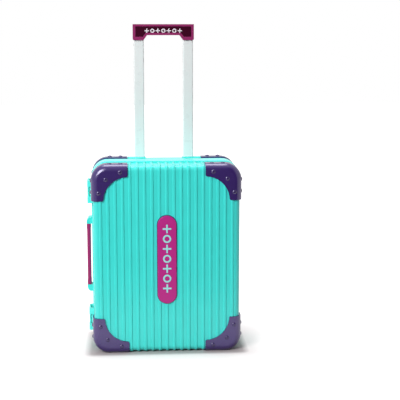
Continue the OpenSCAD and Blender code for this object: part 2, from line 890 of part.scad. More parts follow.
module grip() {
    color([0.58, 0.21, 0.42]) difference() {
        translate([0, tube_y + grip_d / 2, 0]) rotate([90, 0, 0])
            linear_extrude(height = grip_d) grip_outline(0, 0, 0, 0, 0, foot_chamfer);
        translate([0, tube_y - grip_d / 2 + plate_sink, 0]) rotate([90, 0, 0])
            linear_extrude(height = plate_sink + through) plate_outline(0);
        for (sx = [-1, 1])
            tube_block(sx, tube_w + 2 * seat, tube_d + 2 * seat, tube_r,
                       grip_foot - through, tube_socket + seat + through);
    }
}

module grip_plate() {
    color([0.24, 0.03, 0.14]) translate([0, tube_y - grip_d / 2 + plate_sink - seat, 0])
        rotate([90, 0, 0]) linear_extrude(height = plate_t) plate_outline(seat);
}

module tube(sx) {
    h = tube_high - tube_low;
    color([0.86, 0.92, 0.93]) difference() {
        tube_block(sx, tube_w, tube_d, tube_r, tube_low, h);
        tube_block(sx, tube_w - 2 * tube_wall, tube_d - 2 * tube_wall, tube_r / 2,
                   tube_low - through, h + 2 * through);
    }
}

// The foot of a tube: a plug in its end, with a rim that stops under the collar's neck
module tube_stop(sx) {
    plug_h = 12;
    color([0.80, 0.82, 0.84]) {
        tube_block(sx, sleeve_in_w - 2 * run_gap, sleeve_in_d - 2 * run_gap, tube_r,
                   tube_low - stop_h, stop_h - seat);
        tube_block(sx, tube_w - 2 * tube_wall - 2 * seat, tube_d - 2 * tube_wall - 2 * seat,
                   tube_r / 2, tube_low - stop_h / 2, plug_h);
    }
}

// ---------------------------------------------------------------- pins and screws

module hinge_pin(s) {
    color([0.75, 0.76, 0.78])
        hinge_bar(hinge_pin_r, shell_mid + s * side_pitch, hinge_l);
}

module frame_screws() {
    color([0.75, 0.76, 0.78]) each_screw() {
        translate([0, 0, -lug_t - screw_head_h - seat])
            cylinder(r = screw_head_r, h = screw_head_h);
        translate([0, 0, -lug_t - seat - embed])
            cylinder(r = screw_r, h = screw_l + embed);
    }
}

// ---------------------------------------------------------------- nodes

front_shell();
guard_at(-1, 1, true);  // front_guard_top_left
guard_at(1, 1, true);  // front_guard_top_right
guard_at(-1, -1, true);  // front_guard_bottom_left
guard_at(1, -1, true);  // front_guard_bottom_right
rivets_on(true);  // front_rivets
badge();
lid_catch(1);  // lid_catch_upper
lid_catch(-1);  // lid_catch_lower
mid_frame();
back_shell();
guard_at(-1, 1, false);  // back_guard_top_left
guard_at(1, 1, false);  // back_guard_top_right
back_guard_bottom(-1);  // back_guard_bottom_left
back_guard_bottom(1);  // back_guard_bottom_right
rivets_on(false);  // back_rivets
wheel_housing(-1);  // wheel_housing_left
wheel_housing(1);  // wheel_housing_right
wheel_axle(-1);  // wheel_axle_left
wheel_axle(1);  // wheel_axle_right
tube_sleeve(-1);  // tube_sleeve_left
tube_sleeve(1);  // tube_sleeve_right
tube_collar(-1);  // tube_collar_left
tube_collar(1);  // tube_collar_right
side_handle_mount(1);  // side_handle_mount_top
side_handle_mount(-1);  // side_handle_mount_bottom
latch_bracket(1);  // latch_bracket_upper
latch_bracket(-1);  // latch_bracket_lower
latch_pin(1);  // latch_pin_upper
latch_pin(-1);  // latch_pin_lower
hinge_pin(1);  // hinge_pin_upper
hinge_pin(-1);  // hinge_pin_lower
frame_screws();
grip();
grip_plate();
tube(-1);  // tube_left
tube(1);  // tube_right
tube_stop(-1);  // tube_stop_left
tube_stop(1);  // tube_stop_right
side_handle();
latch(1);  // latch_upper
latch(-1);  // latch_lower
wheel_hub(-1);  // wheel_hub_left
wheel_hub(1);  // wheel_hub_right
tyre(-1);  // tyre_left
tyre(1);  // tyre_right
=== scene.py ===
# %% [markdown]
# # A child's trolley case
# The case is two ribbed plastic shells on a frame, with corner guards, latches, a side handle, a pull handle
# and two wheels. Its sizes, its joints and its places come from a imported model, which is loaded here as a
# fixed frame. This lesson gives every piece its finish, and rebuilds the pieces whose soft edges, ribs,
# rivets and small marks need more than the plain solids have.

from math import cos, pi, radians, sin

import bmesh
import bpy
from mathutils import Matrix, Vector


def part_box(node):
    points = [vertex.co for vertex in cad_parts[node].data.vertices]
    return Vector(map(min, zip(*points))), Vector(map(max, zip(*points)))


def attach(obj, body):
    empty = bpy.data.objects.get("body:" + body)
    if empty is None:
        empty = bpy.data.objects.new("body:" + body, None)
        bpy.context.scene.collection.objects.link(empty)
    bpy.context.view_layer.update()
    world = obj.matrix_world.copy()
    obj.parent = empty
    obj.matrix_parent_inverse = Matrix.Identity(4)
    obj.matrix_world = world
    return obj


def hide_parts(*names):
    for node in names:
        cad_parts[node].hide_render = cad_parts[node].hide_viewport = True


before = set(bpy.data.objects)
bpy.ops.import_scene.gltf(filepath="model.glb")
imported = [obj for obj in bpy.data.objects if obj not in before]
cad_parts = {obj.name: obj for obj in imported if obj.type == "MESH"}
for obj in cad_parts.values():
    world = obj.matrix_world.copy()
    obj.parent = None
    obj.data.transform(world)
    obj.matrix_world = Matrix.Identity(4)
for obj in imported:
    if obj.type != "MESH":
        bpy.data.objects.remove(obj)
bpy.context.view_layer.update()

# %% [markdown]
# ## The camera
# The photograph was taken a little above the case and a little to its left, with a long lens. A long lens
# keeps upright edges nearly parallel, which is why the place is far away and the angle of view is small. The
# place, the two angles in degrees and the lens in millimetres were fitted to points of the case.

# %% Set up the camera
CAMERA_PLACE = (-0.0715, -1.8236, 0.5499)
CAMERA_PITCH = 80.84
CAMERA_TURN = -4.15
LENS = 95.2

scene = bpy.context.scene
scene.view_settings.view_transform = "Standard"

camera_data = bpy.data.cameras.new("photograph")
camera_data.sensor_width = 36.0
camera_data.lens = LENS
camera = bpy.data.objects.new("photograph", camera_data)
camera.location = CAMERA_PLACE
camera.rotation_euler = (radians(CAMERA_PITCH), 0.0, radians(CAMERA_TURN))
scene.collection.objects.link(camera)
scene.camera = camera
print(f"camera {abs(camera.location.y):.2f} m in front, lens {LENS} mm")

# %% [markdown]
# ## Driving sizes
# Most sizes are read from the frame, so that a piece that is rebuilt lands exactly where its solid is. A few
# that a box can't tell, such as the radius of a corner, are written here in millimetres. The lip is how far
# the frame reaches into a shell, and a seam is what stays open between the frame's band and a shell's rim: at
# the lid it is wide enough to be seen as a line. The gaps keep the ends of the ribs off guards and badge.

# %% Sizes of the shells
MM = 0.001
WALL = 2.4 * MM
CORNER_RADIUS = 25 * MM
EDGE_RADIUS = 9 * MM
LIP = 3 * MM
LID_SEAM = 0.8 * MM
BACK_SEAM = 0.1 * MM
RIB_HEIGHT = 1.5 * MM
RIB_WIDTH = 5.4 * MM
RIB_LEAN = 1.1 * MM
RIB_ROUND = 0.5 * MM
RIB_PITCH = 12.4 * MM
RIBS_EACH_SIDE = 9
GUARD_ARM = 62 * MM
GUARD_ARC = 41 * MM
GUARD_GAP = 0.3 * MM
BADGE_GAP = 1.4 * MM


def middle_of(node):
    low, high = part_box(node)
    return (low + high) / 2


lid_low, lid_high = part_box("front_shell")
back_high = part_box("back_shell")[1]
frame_low, frame_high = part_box("mid_frame")
badge_low, badge_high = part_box("badge")

half_width = -lid_low.x
shell_top = lid_high.z - RIB_HEIGHT
shell_bottom = lid_low.z + RIB_HEIGHT
middle_z = (shell_top + shell_bottom) / 2
half_height = (shell_top - shell_bottom) / 2
front_y = lid_low.y + RIB_HEIGHT
rear_y = back_high.y - RIB_HEIGHT
lid_rim = frame_low.y + LIP - LID_SEAM
back_rim = frame_high.y - LIP + BACK_SEAM
guard_side = -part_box("front_guard_top_left")[0].x
badge_radius = badge_high.x
badge_run = badge_high.z - middle_z - badge_radius
print(f"shells {2 * half_width / MM:.0f} x {2 * half_height / MM:.0f} mm,",
      f"{(rear_y - front_y) / MM:.0f} mm deep")

# %% [markdown]
# ## Helpers
# `add` makes one node of a shader or a geometry tree and fills its sockets: a value is set, a socket is
# linked. `show` turns a mesh into a piece: it gets a material, rides on its body, and may stand for a node
# of the frame.

# %% Helpers for node trees
def add(tree, kind, settings=None, **sockets):
    """Makes a node. An underscore in the name of a socket stands for a space."""
    made = tree.nodes.new(kind)
    for key, value in (settings or {}).items():
        setattr(made, key, value)
    for name, value in sockets.items():
        plug(tree, made.inputs[name.replace("_", " ")], value)
    return made


def plug(tree, socket, value):
    if isinstance(value, bpy.types.NodeSocket):
        tree.links.new(value, socket)
    else:
        socket.default_value = value


def calculate(tree, operation, *values):
    made = add(tree, "ShaderNodeMath", {"operation": operation})
    for socket, value in zip(made.inputs, values):
        plug(tree, socket, value)
    return made.outputs[0]


def spread(tree, value, low, high, **ends):
    """Maps a value, 0 to 1 unless told otherwise, to the range from low to high."""
    return add(tree, "ShaderNodeMapRange", Value=value, To_Min=low, To_Max=high, **ends).outputs[0]


# %% Helpers for pieces
def show(name, mesh, body, material, replaced=()):
    piece = bpy.data.objects.new(name, mesh)
    scene.collection.objects.link(piece)
    mesh.materials.clear()
    mesh.materials.append(material)
    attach(piece, body)
    if replaced:
        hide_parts(*replaced)
    return piece


def smooth(mesh, angle=38):
    """Smooth shading, with an edge kept sharp where its faces turn by more than the angle in degrees."""
    mesh.shade_smooth()
    mesh.set_sharp_from_angle(angle=radians(angle))


def weigh_normals(piece):
    weigh = piece.modifiers.new("even shading", "WEIGHTED_NORMAL")
    weigh.keep_sharp = True


def mesh_from(bm, name):
    mesh = bpy.data.meshes.new(name)
    bm.to_mesh(mesh)
    bm.free()
    return mesh


def plain_mesh(thing):
    """What an object's modifiers make, as a mesh of its own."""
    evaluated = thing.evaluated_get(bpy.context.evaluated_depsgraph_get())
    return bpy.data.meshes.new_from_object(evaluated)


def join_rings(bm, rings, closed=False):
    """Faces from each ring of points to the next, and from the last to the first where it is closed."""
    following = rings[1:] + rings[:1] if closed else rings[1:]
    for one, other in zip(rings, following):
        for i in range(len(one)):
            j = (i + 1) % len(one)
            bm.faces.new((one[i], one[j], other[j], other[i]))


# %% [markdown]
# ## Finishes
# The whole case is moulded plastic, but no two mouldings look the same. Each finish has a base colour with
# faint clouding, a roughness that varies a little, and a fine ripple in the surface, which is what breaks up
# a reflection on real plastic. All of it lies in object space, so it stays put.

# %% Make a moulded plastic
CLOUD_SCALE = 28.0
PATCH_SCALE = 90.0
GRAIN_SCALE = 700.0
GRAIN_DEPTH = 0.2 * MM
HAZE = 0.12


def moulded(name, colour, roughness, clouding=0.05, ripple=0.02, gloss=0.5, reflected=(1, 1, 1)):
    """A plastic. Clouding is how far its colour varies, and ripple how strongly its grain shows."""
    material = bpy.data.materials.new(name)
    material.use_nodes = True
    tree = material.node_tree
    shader = tree.nodes["Principled BSDF"]
    place = add(tree, "ShaderNodeTexCoord").outputs["Object"]

    cloud = add(tree, "ShaderNodeTexNoise", Vector=place, Scale=CLOUD_SCALE, Detail=4.0)
    dark = [channel * (1 - clouding) for channel in colour]
    light = [min(channel * (1 + clouding), 1.0) for channel in colour]
    tint = add(tree, "ShaderNodeMix", {"data_type": "RGBA"})
    # A Mix node keeps its colours in the inputs 6 and 7, and their mix in the output 2.
    plug(tree, tint.inputs[0], cloud.outputs[0])
    plug(tree, tint.inputs[6], (*dark, 1))
    plug(tree, tint.inputs[7], (*light, 1))
    plug(tree, shader.inputs["Base Color"], tint.outputs[2])

    patch = add(tree, "ShaderNodeTexNoise", Vector=place, Scale=PATCH_SCALE, Detail=3.0)
    varied = spread(tree, patch.outputs[0], roughness * (1 - HAZE), roughness * (1 + HAZE))
    plug(tree, shader.inputs["Roughness"], varied)

    grain = add(tree, "ShaderNodeTexNoise", Vector=place, Scale=GRAIN_SCALE, Detail=2.0)
    bump = add(tree, "ShaderNodeBump", Height=grain.outputs[0], Strength=ripple, Distance=GRAIN_DEPTH)
    plug(tree, shader.inputs["Normal"], bump.outputs[0])

    shader.inputs["Specular IOR Level"].default_value = gloss
    shader.inputs["Specular Tint"].default_value = (*reflected, 1)
    return material


# %% [markdown]
# ### One finish for each moulding
# Colours are linear, so they look darker as numbers than they do on the case. The guards and the rivets are
# polished, and their reflections are a little lilac, as on the real ones.

# %% The colours of the case
LILAC = (0.84, 0.80, 1.0)

shell_plastic = moulded("mint_shell_plastic", (0.055, 0.760, 0.700), 0.30)
frame_plastic = moulded("mint_frame_plastic", (0.080, 0.830, 0.770), 0.26)
latch_plastic = moulded("mint_latch_plastic", (0.100, 0.880, 0.800), 0.30)
guard_plastic = moulded("purple_guard_plastic", (0.032, 0.011, 0.120), 0.24, ripple=0.01, gloss=1.0,
                        reflected=LILAC)
rivet_plastic = moulded("purple_rivet_plastic", (0.026, 0.009, 0.095), 0.09, ripple=0.01, gloss=1.0,
                        reflected=LILAC)
badge_plastic = moulded("magenta_badge_plastic", (0.500, 0.022, 0.240), 0.30, gloss=0.4)
grip_plastic = moulded("magenta_grip_plastic", (0.290, 0.022, 0.125), 0.30, gloss=0.35)
plate_plastic = moulded("maroon_plate_plastic", (0.046, 0.001, 0.014), 0.30, gloss=0.12)
bail_plastic = moulded("magenta_bail_plastic", (0.350, 0.026, 0.135), 0.34, gloss=0.3)
badge_marks = moulded("pale_mint_marks", (0.360, 0.800, 0.800), 0.35)
plate_marks = moulded("white_marks", (0.860, 0.790, 0.850), 0.40)
inner_plastic = moulded("grey_inner_plastic", (0.60, 0.63, 0.66), 0.45)
tyre_plastic = moulded("charcoal_tyre_plastic", (0.025, 0.025, 0.030), 0.60, ripple=0.2)
print(f"{len(bpy.data.materials)} finishes so far")

# %% [markdown]
# ## Milky tubes and bright steel
# The pull handle's tubes are a pale milky plastic that scatters light so strongly that it looks solid.
# Subsurface scattering could show that too, but a plain pale colour looks the same on so thin a wall. The
# pins and screws are plain steel, with fine lines left by turning.

# %% Make the milky plastic and the steel
TURNING_SCALE = 1500.0
TURNING_DEPTH = 0.1 * MM


def turned_steel(name):
    material = bpy.data.materials.new(name)
    material.use_nodes = True
    tree = material.node_tree
    shader = tree.nodes["Principled BSDF"]
    shader.inputs["Metallic"].default_value = 1.0
    shader.inputs["Base Color"].default_value = (0.62, 0.63, 0.65, 1)
    place = add(tree, "ShaderNodeTexCoord").outputs["Object"]
    lines = add(tree, "ShaderNodeTexNoise", Vector=place, Scale=TURNING_SCALE, Detail=2.0)
    plug(tree, shader.inputs["Roughness"], spread(tree, lines.outputs[0], 0.22, 0.42))
    bump = add(tree, "ShaderNodeBump", Height=lines.outputs[0], Strength=0.05, Distance=TURNING_DEPTH)
    plug(tree, shader.inputs["Normal"], bump.outputs[0])
    return material


tube_plastic = moulded("milky_tube_plastic", (0.83, 0.86, 0.86), 0.28, clouding=0.02)
steel = turned_steel("bright_steel")
print("milky plastic and steel")

# %% [markdown]
# ## Softened solids
# Moulded plastic has no knife edges. The frame's solids do, so most pieces are copies of their solid with
# its edges rounded: the copy's loose triangles are merged, flat faces become one face each, and the sharp
# edges get a small bevel. Very short edges, such as those round a rivet hole, are left alone.

# %% Round the edges of a copy of a solid
DOUBLE = 0.002 * MM
FLAT_ANGLE = 0.6
SHARP_ANGLE = 32


def merged(node):
    bm = bmesh.new()
    bm.from_mesh(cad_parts[node].data)
    bmesh.ops.remove_doubles(bm, verts=bm.verts, dist=DOUBLE)
    return bm


def softened(node, radius, shortest=0.0, steps=3):
    """A copy of a solid. Its sharp edges that are longer than the shortest get a round of this radius."""
    bm = merged(node)
    bmesh.ops.dissolve_limit(bm, angle_limit=radians(FLAT_ANGLE), verts=bm.verts, edges=bm.edges)
    sharp = [edge for edge in bm.edges if len(edge.link_faces) == 2
             and edge.calc_length() > shortest and edge.calc_face_angle() > radians(SHARP_ANGLE)]
    if radius:
        bmesh.ops.bevel(bm, geom=sharp, offset=radius, segments=steps, profile=0.5, affect="EDGES",
                        clamp_overlap=True, loop_slide=True)
    mesh = mesh_from(bm, node)
    smooth(mesh)
    return mesh


def show_softened(node, body, material, slot, radius, **options):
    piece = show(node + "_part", softened(node, radius, **options), body, material, [node])
    weigh_normals(piece)


# %% [markdown]
# ## The shells
# A moulded shell is a tray: one section, with a rounded edge, that runs round a rectangle with round
# corners. A box with a bevel would come near it. Here the same function makes a ring at each point of the
# section and joins the rings, so the wall has its true thickness, and a flat face closes the inner and the
# outer side.

# %% Sweep a section round the case
CORNER_STEPS = 16
EDGE_STEPS = 10
RIM_STEPS = 3
RIM_ROUND = 0.4 * MM


def ring(inset, y):
    radius = CORNER_RADIUS - inset
    points = []
    for corner, (sx, sz) in enumerate(((1, 1), (-1, 1), (-1, -1), (1, -1))):
        centre_x = sx * (half_width - CORNER_RADIUS)
        centre_z = middle_z + sz * (half_height - CORNER_RADIUS)
        for step in range(CORNER_STEPS + 1):
            turn = (corner + step / CORNER_STEPS) * pi / 2
            points.append((centre_x + radius * cos(turn), y, centre_z + radius * sin(turn)))
    return points


def swept_tray(section):
    bm = bmesh.new()
    rings = [[bm.verts.new(point) for point in ring(inset, y)] for inset, y in section]
    join_rings(bm, rings)
    bm.faces.new(rings[0])
    bm.faces.new(rings[-1])
    bmesh.ops.recalc_face_normals(bm, faces=bm.faces)
    return bm


def arc(centre, radius, start, end, steps=EDGE_STEPS):
    """Points of an arc in (inset, depth), with the angles in quarter turns."""
    turns = [(start + (end - start) * i / steps) * pi / 2 for i in range(steps + 1)]
    return [(centre[0] + radius * cos(turn), centre[1] + radius * sin(turn)) for turn in turns]


def tray_section(face, rim):
    """The section of a shell, from the inside of its face, round the rim, to the outside of its face."""
    way = 1 if rim > face else -1
    rim_depth = abs(rim - face) - RIM_ROUND
    centre = (EDGE_RADIUS, EDGE_RADIUS)
    inside = arc(centre, EDGE_RADIUS - WALL, 3, 2)
    inner_rim = arc((WALL - RIM_ROUND, rim_depth), RIM_ROUND, 0, 1, RIM_STEPS)
    outer_rim = arc((RIM_ROUND, rim_depth), RIM_ROUND, 1, 2, RIM_STEPS)
    outside = arc(centre, EDGE_RADIUS, 2, 3)
    return [(inset, face + way * depth) for inset, depth in inside + inner_rim + outer_rim + outside]


# %% [markdown]
# ## The ribs
# Nineteen upright ribs run up the face of each shell. On the lid the middle ones go on over the top and
# bottom walls, and the badge interrupts three of them. The outer ones stop at the corner guards. This
# repeats and follows a path, so Geometry Nodes make it: the guides are bare edges, a section with leaning
# flanks is swept along them, and the ends are then pulled back to the outlines of the badge and the guards.
# On the back the ribs stop below the top wall, and the ones behind the tubes' collars stop lower still.

# %% The guides that the ribs follow
COLLAR_DROP = 13.3 * MM
COLLAR_START = 30 * MM


def rib_guides(face, rim, is_lid):
    """Edge chains in the plane of each rib, round the shell's edge where the rib does so."""
    way = 1 if rim > face else -1
    edge = [(v, half_height - inset) for inset, v in arc((EDGE_RADIUS, EDGE_RADIUS), EDGE_RADIUS, 2, 3)]
    over_edge = [(abs(rim - face), half_height)] + edge
    under_edge = [(v, -z) for v, z in reversed(over_edge)]
    arm_z = half_height - EDGE_RADIUS
    chains = []
    for i in range(-RIBS_EACH_SIDE, RIBS_EACH_SIDE + 1):
        x = i * RIB_PITCH
        if abs(x) + RIB_WIDTH / 2 > guard_side - GUARD_ARM:
            chains.append([(x, 0, arm_z), (x, 0, -arm_z)])
        elif not is_lid:
            stop = half_height - (COLLAR_DROP if abs(x) > COLLAR_START else EDGE_RADIUS)
            chains.append([(x, 0, stop)] + [(x, v, z) for v, z in under_edge])
        elif abs(x) < badge_radius:
            chains.append([(x, v, z) for v, z in over_edge] + [(x, 0, badge_run)])
            chains.append([(x, 0, -badge_run)] + [(x, v, z) for v, z in under_edge])
        else:
            chains.append([(x, v, z) for v, z in over_edge + under_edge])
    points, edges = [], []
    for chain in chains:
        edges += [(len(points) + i, len(points) + i + 1) for i in range(len(chain) - 1)]
        points += [(x, face + way * v, middle_z + z) for x, v, z in chain]
    mesh = bpy.data.meshes.new("rib_guides")
    mesh.from_pydata(points, edges, [])
    return mesh


# %% [markdown]
# ## Trees of geometry
# Every tree below takes a guide mesh and a few named sizes, and ends in Realize Instances and Set Material.
# `grow` runs a tree on its guide and gives back a plain mesh, so that nothing live is left on a piece.

# %% Helpers for geometry trees
def new_tree(name, **inputs):
    """A geometry tree with named inputs, the outputs of its input node, and each input's identifier."""
    tree = bpy.data.node_groups.new(name, "GeometryNodeTree")
    tree.interface.new_socket("Geometry", in_out="INPUT", socket_type="NodeSocketGeometry")
    identifiers = {}
    for key, kind in inputs.items():
        label = key.replace("_", " ")
        socket = tree.interface.new_socket(label, in_out="INPUT", socket_type="NodeSocket" + kind)
        identifiers[key] = socket.identifier
    tree.interface.new_socket("Geometry", in_out="OUTPUT", socket_type="NodeSocketGeometry")
    return tree, tree.nodes.new("NodeGroupInput").outputs, identifiers


def end_tree(tree, geometry, material):
    real = add(tree, "GeometryNodeRealizeInstances", Geometry=geometry)
    painted = add(tree, "GeometryNodeSetMaterial", Geometry=real.outputs[0], Material=material)
    tree.links.new(painted.outputs[0], tree.nodes.new("NodeGroupOutput").inputs[0])
    print(f"tree {tree.name}: {len(tree.nodes)} nodes")


def grow(mesh, tree, identifiers, **values):
    """Runs a tree on a guide mesh, and returns the plain mesh that it makes."""
    guide = bpy.data.objects.new("guide", mesh)
    scene.collection.objects.link(guide)
    modifier = guide.modifiers.new("grow", "NODES")
    modifier.node_group = tree
    for key, value in values.items():
        modifier[identifiers[key]] = value
    grown = plain_mesh(guide)
    guide.modifiers.clear()
    bpy.data.objects.remove(guide)
    return grown


def guide_points(points, **attributes):
    mesh = bpy.data.meshes.new("guide_points")
    mesh.from_pydata(points, [], [])
    for name, vectors in attributes.items():
        stored = mesh.attributes.new(name, "FLOAT_VECTOR", "POINT")
        for item, vector in zip(stored.data, vectors):
            item.vector = vector
    return mesh


# %% The section of a rib
rib_tree, given, rib_inputs = new_tree(
    "ribs", Width="Float", Height="Float", Lean="Float", Round="Float", Middle="Float",
    Badge_radius="Float", Badge_run="Float", Guard_side="Float", Guard_top="Float", Guard_arm="Float",
    Guard_arc="Float", Material="Material")


def rib_math(operation, *values):
    return calculate(rib_tree, operation, *values)


square = add(rib_tree, "GeometryNodeCurvePrimitiveQuadrilateral", Width=given["Width"],
             Height=rib_math("MULTIPLY", given["Height"], 2.0))
split = add(rib_tree, "GeometryNodeSubdivideCurve", Curve=square.outputs[0], Cuts=1)
position = rib_tree.nodes.new("GeometryNodeInputPosition").outputs[0]
corner = add(rib_tree, "ShaderNodeSeparateXYZ", Vector=position)
rise = rib_math("DIVIDE", rib_math("ABSOLUTE", corner.outputs["Y"]), given["Height"])
slope = rib_math("DIVIDE", rib_math("MULTIPLY", given["Lean"], 2.0), given["Width"])
narrowing = rib_math("SUBTRACT", 1.0, rib_math("MULTIPLY", rise, slope))
leaning_x = rib_math("MULTIPLY", corner.outputs["X"], narrowing)
leaning = add(rib_tree, "GeometryNodeSetPosition", Geometry=split.outputs[0],
              Position=add(rib_tree, "ShaderNodeCombineXYZ", X=leaning_x, Y=corner.outputs["Y"]).outputs[0])
section = add(rib_tree, "GeometryNodeFilletCurve", {"mode": "POLY"}, Curve=leaning.outputs[0],
              Radius=given["Round"], Count=3)
lines = add(rib_tree, "GeometryNodeMeshToCurve", Mesh=given["Geometry"])
bars = add(rib_tree, "GeometryNodeCurveToMesh", Curve=lines.outputs[0], Profile_Curve=section.outputs[0],
           Fill_Caps=True)

# %% [markdown]
# ### Where a rib ends
# Both outlines that stop a rib are arcs, so the end of each rib is a matter of Pythagoras: at a sideways
# distance from an arc's centre, its edge lies at the root of what is left of the squared radius. Past the
# arm of a guard the end is moved a whole metre away, so that nothing stops the rib there.

# %% Pull the ends back to the badge and the guards
spot = add(rib_tree, "ShaderNodeSeparateXYZ", Vector=position)
across = rib_math("ABSOLUTE", spot.outputs["X"])
above = rib_math("SUBTRACT", spot.outputs["Z"], given["Middle"])


def edge_of_arc(radius, side):
    """sqrt(radius² - side²), or 0 past the end of the circle."""
    left = rib_math("SUBTRACT", rib_math("MULTIPLY", radius, radius), rib_math("MULTIPLY", side, side))
    return rib_math("SQRT", rib_math("MAXIMUM", left, 0.0))


badge_end = rib_math("ADD", given["Badge run"], edge_of_arc(given["Badge radius"], across))
lowest = rib_math("MULTIPLY", rib_math("LESS_THAN", across, given["Badge radius"]), badge_end)
inset = rib_math("SUBTRACT", given["Guard side"], across)
from_arc = rib_math("SUBTRACT", given["Guard arm"], inset)
arm_depth = rib_math("SUBTRACT", given["Guard arm"], edge_of_arc(given["Guard arc"], from_arc))
guard_end = rib_math("SUBTRACT", given["Guard top"], arm_depth)
highest = rib_math("ADD", guard_end, rib_math("GREATER_THAN", inset, given["Guard arm"]))
kept = rib_math("MINIMUM", highest, rib_math("MAXIMUM", lowest, rib_math("ABSOLUTE", above)))
new_z = rib_math("ADD", given["Middle"], rib_math("MULTIPLY", kept, rib_math("SIGN", above)))
new_spot = add(rib_tree, "ShaderNodeCombineXYZ", X=spot.outputs["X"], Y=spot.outputs["Y"], Z=new_z)
cut_bars = add(rib_tree, "GeometryNodeSetPosition", Geometry=bars.outputs[0], Position=new_spot.outputs[0])
end_tree(rib_tree, cut_bars.outputs[0], given["Material"])


def ribs(face, rim, is_lid):
    return grow(rib_guides(face, rim, is_lid), rib_tree, rib_inputs, Width=RIB_WIDTH, Height=RIB_HEIGHT,
                Lean=RIB_LEAN, Round=RIB_ROUND, Middle=middle_z,
                Badge_radius=(badge_radius + BADGE_GAP) if is_lid else 0.0, Badge_run=badge_run,
                Guard_side=guard_side, Guard_top=half_height + guard_side - half_width,
                Guard_arm=GUARD_ARM, Guard_arc=GUARD_ARC - GUARD_GAP, Material=shell_plastic)


# %% [markdown]
# ## Knuckles, bosses and cut-outs
# The lid carries the middle knuckle of each hinge. The back shell has bosses for the frame's screws, holes
# for the tubes' collars, and two arches that the wheel housings fill. Each is a plain rod or block that a
# Boolean adds or takes away, which is how a toolmaker would think of it too.

# %% Rods and blocks, added or cut away
def rod(bm, start, end, radius, sides=32):
    start, end = Vector(start), Vector(end)
    turn = (end - start).to_track_quat("Z", "Y").to_matrix().to_4x4()
    bmesh.ops.create_cone(bm, cap_ends=True, segments=sides, radius1=radius, radius2=radius,
                          depth=(end - start).length, matrix=Matrix.Translation((start + end) / 2) @ turn)


def block(bm, low, high):
    low, high = Vector(low), Vector(high)
    bmesh.ops.create_cube(bm, size=1.0,
                          matrix=Matrix.Translation((low + high) / 2) @ Matrix.Diagonal((*(high - low), 1)))


def carve(mesh, steps):
    """Adds tools to a mesh or cuts them out of it, in turn, and returns the plain result."""
    body = bpy.data.objects.new("carved", mesh)
    scene.collection.objects.link(body)
    tools = []
    for operation, bm in steps:
        tool = bpy.data.objects.new("tool", mesh_from(bm, "tool"))
        scene.collection.objects.link(tool)
        tools.append(tool)
        step = body.modifiers.new(operation, "BOOLEAN")
        step.operation = operation
        step.object = tool
        step.solver = "MANIFOLD"
    result = plain_mesh(body)
    for thing in [body] + tools:
        bpy.data.objects.remove(thing)
    return result


# %% The tools for the lid
KNUCKLE_RADIUS = 2.9 * MM
PIN_BORE = 1.32 * MM
RUN_GAP = 0.3 * MM

knuckles, notches, pin_bores = (bmesh.new() for tool in range(3))
for end in ("upper", "lower"):
    pin_low, pin_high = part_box("hinge_pin_" + end)
    x, y, z = (pin_low + pin_high) / 2
    knuckle = (pin_high.z - pin_low.z - 2 * RUN_GAP) / 3
    rod(knuckles, (x, y, z - knuckle / 2), (x, y, z + knuckle / 2), KNUCKLE_RADIUS)
    for side in (-1, 1):
        near = z + side * (knuckle / 2)
        far = z + side * (1.5 * knuckle + 2 * RUN_GAP)
        rod(notches, (x, y, near), (x, y, far), KNUCKLE_RADIUS + RUN_GAP)
    rod(pin_bores, (x, y, pin_low.z), (x, y, pin_high.z), PIN_BORE)
lid_tools = [("UNION", knuckles), ("DIFFERENCE", notches), ("DIFFERENCE", pin_bores)]
print("two hinge knuckles on the lid")

# %% [markdown]
# ### Inside the back shell
# Each boss stands on the back wall, and a thin web ties it to the side wall. The web starts a little behind
# the rim and ends before the shell's rounded edge, so that it never shows outside.

# %% The bosses and their webs
BOSS_RADIUS = 4 * MM
SCREW_HEAD = 3 * MM
SCREW_BORE = 1.55 * MM
SCREW_DEPTH = 20 * MM
WEB_START = 4.6 * MM

bosses, webs, screw_bores = (bmesh.new() for tool in range(3))
screws_low, screws_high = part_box("frame_screws")
web_front, web_back = back_rim + WEB_START, rear_y - EDGE_RADIUS
for sx in (-1, 1):
    x = sx * (screws_high.x - SCREW_HEAD)
    wall_x = sx * (half_width - WALL / 2)
    for z in (screws_low.z + SCREW_HEAD, screws_high.z - SCREW_HEAD):
        rod(bosses, (x, back_rim, z), (x, rear_y - WALL / 2, z), BOSS_RADIUS)
        block(webs, (min(x, wall_x), web_front, z - WALL / 2), (max(x, wall_x), web_back, z + WALL / 2))
        rod(screw_bores, (x, back_rim - MM, z), (x, back_rim + SCREW_DEPTH, z), SCREW_BORE)
print("four bosses and four webs in the back shell")

# %% The holes for the collars and the wheel housings
NECK = Vector((21.3, 11.6)) * MM
SLACK = 0.1 * MM
ARCH_SIDES = 64

necks, arches, under, behind = (bmesh.new() for tool in range(4))
for side in ("left", "right"):
    neck = middle_of("tube_" + side)
    block(necks, (neck.x - NECK.x / 2, neck.y - NECK.y / 2, shell_top - EDGE_RADIUS),
          (neck.x + NECK.x / 2, neck.y + NECK.y / 2, shell_top + MM))
    well_low, well_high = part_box("wheel_housing_" + side)
    left, right = well_low.x - SLACK, well_high.x + SLACK
    axle = middle_of("wheel_hub_" + side)
    arch = well_high.z - axle.z + SLACK
    rod(arches, (left, axle.y, axle.z), (right, axle.y, axle.z), arch, ARCH_SIDES)
    block(under, (left, axle.y - arch, -MM), (right, axle.y + arch, axle.z))
    block(behind, (left, axle.y, -MM), (right, axle.y + 2 * arch, axle.z + arch))
back_tools = [("UNION", bosses), ("UNION", webs)]
back_tools += [("DIFFERENCE", tool) for tool in (screw_bores, necks, arches, under, behind)]
print("two collar holes and two wheel arches in the back shell")

